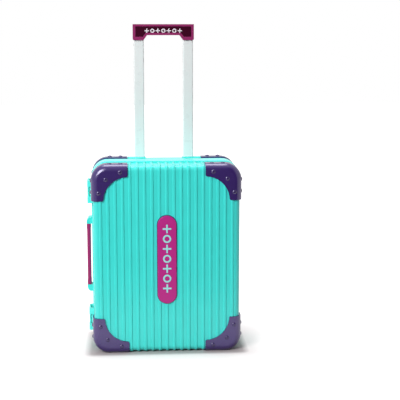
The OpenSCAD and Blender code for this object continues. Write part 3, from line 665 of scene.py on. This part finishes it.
# %% Make both shells
SHELL_SHARP = 30


def shell(name, face, rim, is_lid, tools):
    bars = bmesh.new()
    bars.from_mesh(ribs(face, rim, is_lid))
    tray = mesh_from(swept_tray(tray_section(face, rim)), name)
    mesh = carve(tray, [("UNION", bars)] + tools)
    smooth(mesh, SHELL_SHARP)
    return mesh


lid = show("lid_shell", shell("lid_shell", front_y, lid_rim, True, lid_tools), "lid", shell_plastic,
           ["front_shell"])
back = show("rear_shell", shell("rear_shell", rear_y, back_rim, False, back_tools), "case", shell_plastic,
            ["back_shell"])
for piece in (lid, back):
    weigh_normals(piece)
print(f"lid {len(lid.data.polygons)} faces, rear shell {len(back.data.polygons)} faces")

# %% [markdown]
# ## Guards, frame and the small mouldings
# These have the right shape already, so each is its solid with soft edges. The radius of an edge matters for
# the look: a guard's edge is round enough to catch a lamp, and a latch's is only broken. A radius of 0 leaves
# the edges as they are.

# %% Soften the guards and everything on the back
for side in ("left", "right"):
    for height_name in ("top", "bottom"):
        for place_name, body in (("front", "lid"), ("back", "case")):
            show_softened(f"{place_name}_guard_{height_name}_{side}", body, guard_plastic, "guard_purple",
                          0.7 * MM, shortest=0.35 * MM)
    show_softened("wheel_housing_" + side, "case", guard_plastic, "guard_purple", 0.5 * MM)
    show_softened("wheel_axle_" + side, "case", steel, "pin_steel", 0.2 * MM)
    show_softened("tube_collar_" + side, "case", frame_plastic, "frame_mint", 0.4 * MM)
    show_softened("tube_sleeve_" + side, "case", inner_plastic, "inner_plastic", 0.0)
    show_softened("tube_" + side, "pull_handle", tube_plastic, "tube_milky", 0.0)
    show_softened("tube_stop_" + side, "pull_handle", inner_plastic, "inner_plastic", 0.0)
print("guards, housings and tubes")

# %% Soften the latches, the handles and the frame
for end in ("upper", "lower"):
    show_softened("latch_" + end, "latch_" + end, latch_plastic, "latch_mint", 0.4 * MM)
    show_softened("latch_bracket_" + end, "case", latch_plastic, "latch_mint", 0.3 * MM)
    show_softened("latch_pin_" + end, "case", steel, "pin_steel", 0.15 * MM)
    show_softened("hinge_pin_" + end, "case", steel, "pin_steel", 0.15 * MM)
    show_softened("lid_catch_" + end, "lid", latch_plastic, "latch_mint", 0.4 * MM)
for end in ("top", "bottom"):
    show_softened("side_handle_mount_" + end, "case", shell_plastic, "shell_mint", 0.6 * MM)
show_softened("mid_frame", "case", frame_plastic, "frame_mint", 0.0)
show_softened("side_handle", "side_handle", bail_plastic, "bail_magenta", 0.9 * MM)
show_softened("grip", "pull_handle", grip_plastic, "grip_magenta", 0.7 * MM)
show_softened("grip_plate", "pull_handle", plate_plastic, "grip_plate_maroon", 0.2 * MM)
show_softened("badge", "lid", badge_plastic, "badge_magenta", 1.0 * MM, steps=4)
show_softened("frame_screws", "case", steel, "pin_steel", 0.2 * MM)
print("latches, handles and frame")

# %% [markdown]
# ## The badge's seat, with its painted shade
# The badge sits in a thin dark purple ring, seen as a line round it. The ring is the badge's seat, and it is
# made dark to paint the shade in the gap round the badge. It is a pill outline, swept as a flat band: four
# rings of points, two inner ones and two outer ones, that are joined all the way round. A curve with a bevel
# would do too, but this gives the band a square section.

# %% Make the ring of painted shade
SHADE_RING_WIDTH = 1.1 * MM
SHADE_RING_HEIGHT = 0.8 * MM
SHADE_RING_DEPTH = MM


def pill(radius, y, steps=24):
    """Points round a pill as long in its straight sides as the badge, at one depth."""
    turns = [pi * i / steps for i in range(steps + 1)]
    upper = [(radius * cos(turn), y, middle_z + badge_run + radius * sin(turn)) for turn in turns]
    lower = [(-x, y, 2 * middle_z - z) for x, y, z in upper]
    return upper + lower


inner, outer = badge_radius, badge_radius + SHADE_RING_WIDTH
sunk, proud = front_y + SHADE_RING_DEPTH, front_y - SHADE_RING_HEIGHT
bm = bmesh.new()
rings = [[bm.verts.new(point) for point in pill(radius, y)]
         for radius, y in ((inner, sunk), (inner, proud), (outer, proud), (outer, sunk))]
join_rings(bm, rings, closed=True)
bmesh.ops.recalc_face_normals(bm, faces=bm.faces)
painted_shade_ring_mesh = mesh_from(bm, "badge_painted_shade_ring")
smooth(painted_shade_ring_mesh)
# The ring is dark purple to paint the shade in the gap round the badge.
show("badge_painted_shade_ring", painted_shade_ring_mesh, "lid", guard_plastic)
print(f"surround {len(painted_shade_ring_mesh.polygons)} faces")

# %% [markdown]
# ## Rivets
# Each guard is held by rivets with domed heads. One dome is placed on each point of a guide, and turned to
# face the way that the guard faces there. The points are read from the frame's own rivets: the thin way of
# a rivet's box is its axis, and its outer end is the side that lies further from the middle of the case.

# %% Read the place and the facing of each rivet
RIVET_HEIGHT = 1.8 * MM


def islands(bm):
    """The points of each loose part of a mesh, in the order of its vertices."""
    seen = set()
    for first in bm.verts:
        if first in seen:
            continue
        seen.add(first)
        found = [first]
        for vert in found:
            for edge in vert.link_edges:
                other = edge.other_vert(vert)
                if other not in seen:
                    seen.add(other)
                    found.append(other)
        yield [vert.co for vert in found]


def rivet_guides(node):
    """A point for each rivet of a node, with its facing, and the radius that they share."""
    bm = merged(node)
    places, facings = [], []
    for points in islands(bm):
        low = Vector([min(point[i] for point in points) for i in range(3)])
        high = Vector([max(point[i] for point in points) for i in range(3)])
        size, middle = high - low, (low + high) / 2
        axis = min(range(3), key=lambda i: size[i])
        away = middle - Vector((0, 0, middle_z))
        facing = Vector((0, 0, 0))
        facing[axis] = 1 if away[axis] > 0 else -1
        places.append(middle + facing * (size[axis] / 2 - RIVET_HEIGHT))
        facings.append(facing)
        radius = max(size) / 2
    bm.free()
    return guide_points(places, facing=facings), radius


# %% The tree that sets the rivets
rivet_tree, given, rivet_inputs = new_tree("rivets", Radius="Float", Height="Float", Material="Material")
dome = add(rivet_tree, "GeometryNodeMeshUVSphere", Segments=28, Rings=14, Radius=1.0)
dome_size = add(rivet_tree, "ShaderNodeCombineXYZ", X=given["Radius"], Y=given["Radius"], Z=given["Height"])
flat_dome = add(rivet_tree, "GeometryNodeTransform", Geometry=dome.outputs[0], Scale=dome_size.outputs[0])
facing = add(rivet_tree, "GeometryNodeInputNamedAttribute", {"data_type": "FLOAT_VECTOR"}, Name="facing")
turned = add(rivet_tree, "FunctionNodeAlignRotationToVector", {"axis": "Z"}, Vector=facing.outputs[0])
set_rivets = add(rivet_tree, "GeometryNodeInstanceOnPoints", Points=given["Geometry"],
                 Instance=flat_dome.outputs[0], Rotation=turned.outputs[0])
end_tree(rivet_tree, set_rivets.outputs[0], given["Material"])

for node, body in (("front_rivets", "lid"), ("back_rivets", "case")):
    guides, radius = rivet_guides(node)
    count = len(guides.vertices)
    mesh = grow(guides, rivet_tree, rivet_inputs, Radius=radius, Height=RIVET_HEIGHT, Material=rivet_plastic)
    mesh.shade_smooth()
    show(node + "_domes", mesh, body, rivet_plastic, [node])
    print(f"{node}: {count}")

# %% [markdown]
# ## Marks on the badge and on the grip
# Both plates carry a row of small raised marks. They are plain signs, a plus and a ring in turn, as suits a
# case for playing doctor. A tree sets them: the plus is two bars made one, and the ring a disc with a hole.

# %% The tree that sets the marks
RING_SHARE = 0.48
RING_SIDES = 40

mark_tree, given, mark_inputs = new_tree("marks", Size="Float", Stroke="Float", Thickness="Float",
                                         Material="Material")


def mark_bar(width, height):
    sizes = add(mark_tree, "ShaderNodeCombineXYZ", X=width, Y=given["Thickness"], Z=height).outputs[0]
    return add(mark_tree, "GeometryNodeMeshCube", Size=sizes).outputs[0]


def mark_disc(radius, depth):
    disc = add(mark_tree, "GeometryNodeMeshCylinder", Vertices=RING_SIDES, Radius=radius, Depth=depth)
    upright = add(mark_tree, "GeometryNodeTransform", Geometry=disc.outputs[0], Rotation=(pi / 2, 0, 0))
    return upright.outputs[0]


plus = add(mark_tree, "GeometryNodeMeshBoolean", {"operation": "UNION", "solver": "EXACT"},
           Mesh_2=mark_bar(given["Size"], given["Stroke"]))
mark_tree.links.new(mark_bar(given["Stroke"], given["Size"]), plus.inputs["Mesh 2"])
ring_radius = calculate(mark_tree, "MULTIPLY", given["Size"], RING_SHARE)
hole = mark_disc(calculate(mark_tree, "SUBTRACT", ring_radius, given["Stroke"]),
                 calculate(mark_tree, "MULTIPLY", given["Thickness"], 2.0))
circle = add(mark_tree, "GeometryNodeMeshBoolean", {"operation": "DIFFERENCE", "solver": "EXACT"},
             Mesh_1=mark_disc(ring_radius, given["Thickness"]), Mesh_2=hole)
turn = calculate(mark_tree, "MODULO", mark_tree.nodes.new("GeometryNodeInputIndex").outputs[0], 2.0)
both = add(mark_tree, "GeometryNodeJoinGeometry")
for sign, wanted in ((plus, calculate(mark_tree, "LESS_THAN", turn, 0.5)), (circle, turn)):
    row = add(mark_tree, "GeometryNodeInstanceOnPoints", Points=given["Geometry"], Selection=wanted,
              Instance=sign.outputs[0])
    mark_tree.links.new(row.outputs[0], both.inputs[0])
end_tree(mark_tree, both.outputs[0], given["Material"])

# %% Set a row of marks on each plate
MARKS = 7
BADGE_STEP = 17.2 * MM
BADGE_MIDDLE = middle_z + 2 * MM
PLATE_STEP = 9.6 * MM
PLATE_DROP = 7.4 * MM
SUNK = 0.1 * MM


def marks(name, middle, step, body, material, slot, **sizes):
    places = [Vector(middle) + Vector(step) * (i - (MARKS - 1) / 2) for i in range(MARKS)]
    mesh = grow(guide_points(places), mark_tree, mark_inputs, Material=material, **sizes)
    smooth(mesh)
    show(name, mesh, body, material)
    print(f"{name}: {MARKS} marks")


plate_low, plate_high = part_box("grip_plate")
marks("badge_marks", (0, badge_low.y - SUNK, BADGE_MIDDLE), (0, 0, -BADGE_STEP), "lid", badge_marks,
      "latch_mint", Size=14.5 * MM, Stroke=2.7 * MM, Thickness=0.9 * MM)
marks("plate_marks", (0, plate_low.y, plate_high.z - PLATE_DROP), (PLATE_STEP, 0, 0), "pull_handle",
      plate_marks, "tube_milky", Size=7.6 * MM, Stroke=1.7 * MM, Thickness=0.7 * MM)

# %% [markdown]
# ## Wheels
# A wheel is a hub with six spokes and a tyre with low tread blocks. Each repeats round the axle, so one
# block is made, and a tree copies it round.

# %% The tree that copies a block round an axle
round_tree, given, round_inputs = new_tree("round_the_axle", Count="Int", Centre="Vector",
                                           Material="Material")
home = add(round_tree, "ShaderNodeVectorMath", {"operation": "SCALE"}, Scale=-1.0)
round_tree.links.new(given["Centre"], home.inputs[0])
moved = add(round_tree, "GeometryNodeTransform", Geometry=given["Geometry"], Translation=home.outputs[0])
spots = add(round_tree, "GeometryNodePoints", Count=given["Count"])
step = calculate(round_tree, "DIVIDE", 2 * pi, given["Count"])
angle = calculate(round_tree, "MULTIPLY", step, round_tree.nodes.new("GeometryNodeInputIndex").outputs[0])
copies = add(round_tree, "GeometryNodeInstanceOnPoints", Points=spots.outputs[0], Instance=moved.outputs[0],
             Rotation=add(round_tree, "ShaderNodeCombineXYZ", X=angle).outputs[0])
placed = add(round_tree, "GeometryNodeTransform", Geometry=copies.outputs[0], Translation=given["Centre"])
end_tree(round_tree, placed.outputs[0], given["Material"])


def round_axle(low, high, count, centre, material):
    """A block, given by its corners from the centre of a wheel, copied round the axle."""
    bm = bmesh.new()
    block(bm, centre + Vector(low), centre + Vector(high))
    return grow(mesh_from(bm, "block"), round_tree, round_inputs, Count=count, Centre=centre,
                Material=material)


# %% Turn the tyres and add tread and spokes
TREAD = 0.7 * MM
TREAD_BLOCKS = 36
TREAD_HALF = 0.9 * MM
TREAD_INSET = 0.02 * MM
SPOKES = 6
SPOKE_HALF = (4.2 * MM, 1.1 * MM)
SPOKE_START = 5 * MM
SPOKE_INSET = 2 * MM


def turned_ring(centre, profile, steps=96):
    """A closed profile of (radius, sideways) turned round an axle along X."""
    bm = bmesh.new()
    rings = []
    for i in range(steps):
        turn = 2 * pi * i / steps
        points = [Vector((side, r * cos(turn), r * sin(turn))) for r, side in profile]
        rings.append([bm.verts.new(centre + point) for point in points])
    join_rings(bm, rings, closed=True)
    bmesh.ops.recalc_face_normals(bm, faces=bm.faces)
    return bm


for side in ("left", "right"):
    tyre_low, tyre_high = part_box("tyre_" + side)
    hub_low, hub_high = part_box("wheel_hub_" + side)
    rim = (hub_high.z - hub_low.z) / 2 + SLACK
    centre = (tyre_low + tyre_high) / 2
    outer, half = (tyre_high.z - tyre_low.z) / 2, (tyre_high.x - tyre_low.x) / 2
    shoulder = (outer - rim) / 2
    round_start = outer - TREAD - shoulder
    flank = [(round_start + u, half - shoulder + v) for v, u in arc((0, 0), shoulder, 0, 1, steps=6)]
    profile = [(rim, half)] + flank + [(r, -x) for r, x in reversed(flank)] + [(rim, -half)]
    bm = turned_ring(centre, profile)
    bm.from_mesh(round_axle((shoulder - half, -TREAD_HALF, outer - 3 * TREAD),
                            (half - shoulder, TREAD_HALF, outer - TREAD_INSET),
                            TREAD_BLOCKS, centre, tyre_plastic))
    mesh = mesh_from(bm, "tyre_" + side)
    smooth(mesh)
    show(f"tyre_{side}_tread", mesh, "wheel_" + side, tyre_plastic, ["tyre_" + side])

    bm = bmesh.new()
    bm.from_mesh(softened("wheel_hub_" + side, 0.3 * MM))
    wide, thick = SPOKE_HALF
    bm.from_mesh(round_axle((-wide, -thick, SPOKE_START), (wide, thick, rim - SPOKE_INSET),
                            SPOKES, centre, badge_plastic))
    mesh = mesh_from(bm, "hub_" + side)
    smooth(mesh)
    show(f"wheel_hub_{side}_spokes", mesh, "wheel_" + side, badge_plastic,
         ["wheel_hub_" + side])
print("two wheels")

# %% [markdown]
# ## The studio
# The case stands on a white sweep. A wide soft lamp hangs over it and draws the pale bands along the top
# edges of the guards, and one to the left gives each rib a lit flank and a shaded one. The camera sees pure
# white behind the case, and the room on the camera's side is dimmer, as in a studio. The sweep glows for the
# camera and for reflections only, less and less towards the case, so the case keeps its shadow.

# %% The floor
# It ends close in front of the case, so that the upper guards mirror the dim room and not the floor.
FLOOR_FRONT = -0.42
FLOOR_REACH = 6

floor_mesh = bpy.data.meshes.new("floor")
corners = [(-FLOOR_REACH, FLOOR_FRONT, 0), (FLOOR_REACH, FLOOR_FRONT, 0),
           (FLOOR_REACH, FLOOR_REACH, 0), (-FLOOR_REACH, FLOOR_REACH, 0)]
floor_mesh.from_pydata(corners, [], [(0, 1, 2, 3)])
floor = bpy.data.objects.new("floor", floor_mesh)
scene.collection.objects.link(floor)

floor_paint = bpy.data.materials.new("white_floor")
floor_paint.use_nodes = True
paint_tree = floor_paint.node_tree
matt = paint_tree.nodes["Principled BSDF"]
matt.inputs["Base Color"].default_value = (0.53, 0.49, 0.49, 1)
matt.inputs["Roughness"].default_value = 0.9
matt.inputs["Specular IOR Level"].default_value = 0.1
matt.inputs["Emission Color"].default_value = (1, 1, 1, 1)
floor_mesh.materials.append(floor_paint)
print(f"floor from {FLOOR_FRONT} m to {FLOOR_REACH} m")

# %% [markdown]
# ### The glow of the floor
# The shadow under the case is narrow, so the glow has to follow the case's outline on the floor. Sideways
# and in depth, what is left of a point's distance from the middle once half the case is taken off is its
# distance from the case. The glow grows fast over the first few millimetres and slowly over the next hundred.

# %% Let the floor glow away from the case
NEAR_EDGE = {"From_Min": 0.006, "From_Max": 0.018}
FAR_EDGE = {"From_Min": 0.015, "From_Max": 0.13}

path = paint_tree.nodes.new("ShaderNodeLightPath").outputs
mirrored_or_through = calculate(paint_tree, "MAXIMUM", path["Is Glossy Ray"], path["Is Transmission Ray"])
seen = calculate(paint_tree, "MAXIMUM", path["Is Camera Ray"], mirrored_or_through)
away = add(paint_tree, "ShaderNodeTexCoord").outputs["Object"]
footprint = (half_width, rear_y, 0)
for operation, amount in (("ABSOLUTE", (0, 0, 0)), ("SUBTRACT", footprint), ("MAXIMUM", (0, 0, 0))):
    step = add(paint_tree, "ShaderNodeVectorMath", {"operation": operation})
    plug(paint_tree, step.inputs[0], away)
    step.inputs[1].default_value = amount
    away = step.outputs[0]
far = add(paint_tree, "ShaderNodeVectorMath", {"operation": "LENGTH"})
plug(paint_tree, far.inputs[0], away)
near_glow = spread(paint_tree, far.outputs["Value"], 0.0, 0.45, **NEAR_EDGE)
far_glow = spread(paint_tree, far.outputs["Value"], 0.0, 0.55, **FAR_EDGE)
glow = calculate(paint_tree, "ADD", near_glow, far_glow)
plug(paint_tree, matt.inputs["Emission Strength"], calculate(paint_tree, "MULTIPLY", seen, glow))
print(f"{len(paint_tree.nodes)} nodes in the floor's paint")

# %% [markdown]
# ### The room
# The world is white where the camera looks straight at it. What lights the case and what the case mirrors is
# darker on the camera's side: bright at the far left, dim in the middle, and bright again at the far right,
# where the guards mirror it. Behind the case and straight above it the room is bright again. The light that
# falls on the case comes from a dimmer room than its mirror images do, so the lamps give the forms their
# shade.

# %% The room
world = bpy.data.worlds.new("studio")
scene.world = world
world.use_nodes = True
world_tree = world.node_tree
background = world_tree.nodes["Background"]
background.inputs["Color"].default_value = (1, 1, 1, 1)

path = world_tree.nodes.new("ShaderNodeLightPath").outputs
glossy = path["Is Glossy Ray"]
straight = calculate(world_tree, "MAXIMUM", path["Is Camera Ray"], path["Is Transmission Ray"])
direction = world_tree.nodes.new("ShaderNodeTexCoord").outputs["Generated"]
way = add(world_tree, "ShaderNodeSeparateXYZ", Vector=direction).outputs
to_left = spread(world_tree, way["X"], 1.00, 0.22, From_Min=-1.0, From_Max=-0.2)
to_right = spread(world_tree, way["X"], 1.00, 0.15, From_Min=-0.2, From_Max=0.5)
far_right = spread(world_tree, way["X"], 0.00, 1.00, From_Min=0.55, From_Max=0.75)
side = calculate(world_tree, "MAXIMUM", calculate(world_tree, "MULTIPLY", to_left, to_right), far_right)
side = calculate(world_tree, "MULTIPLY", side, spread(world_tree, glossy, 0.25, 1.00))
bright = spread(world_tree, glossy, 0.50, 1.00)
room = spread(world_tree, way["Y"], side, bright, From_Min=-0.4, From_Max=0.1)
room = spread(world_tree, way["Z"], room, bright, From_Min=0.60, From_Max=0.95)
plug(world_tree, background.inputs["Strength"], calculate(world_tree, "MAXIMUM", straight, room))
print(f"{len(world_tree.nodes)} nodes in the world")


# %% The lamps
def soft_lamp(name, place, aim, size, power):
    lamp = bpy.data.lights.new(name, "AREA")
    lamp.shape = "RECTANGLE"
    lamp.size, lamp.size_y = size
    lamp.energy = power
    holder = bpy.data.objects.new(name, lamp)
    holder.location = place
    holder.rotation_euler = (Vector(aim) - Vector(place)).to_track_quat("-Z", "Y").to_euler()
    scene.collection.objects.link(holder)


soft_lamp("overhead", place=(-0.1, 0.4, 1.7), aim=(-0.1, 0.4, 0), size=(0.9, 0.9), power=15)
soft_lamp("left", place=(-0.93, -1.45, 1.15), aim=(0, 0, 0.35), size=(0.8, 0.9), power=34)
print(f"{len(bpy.data.lights)} lamps")
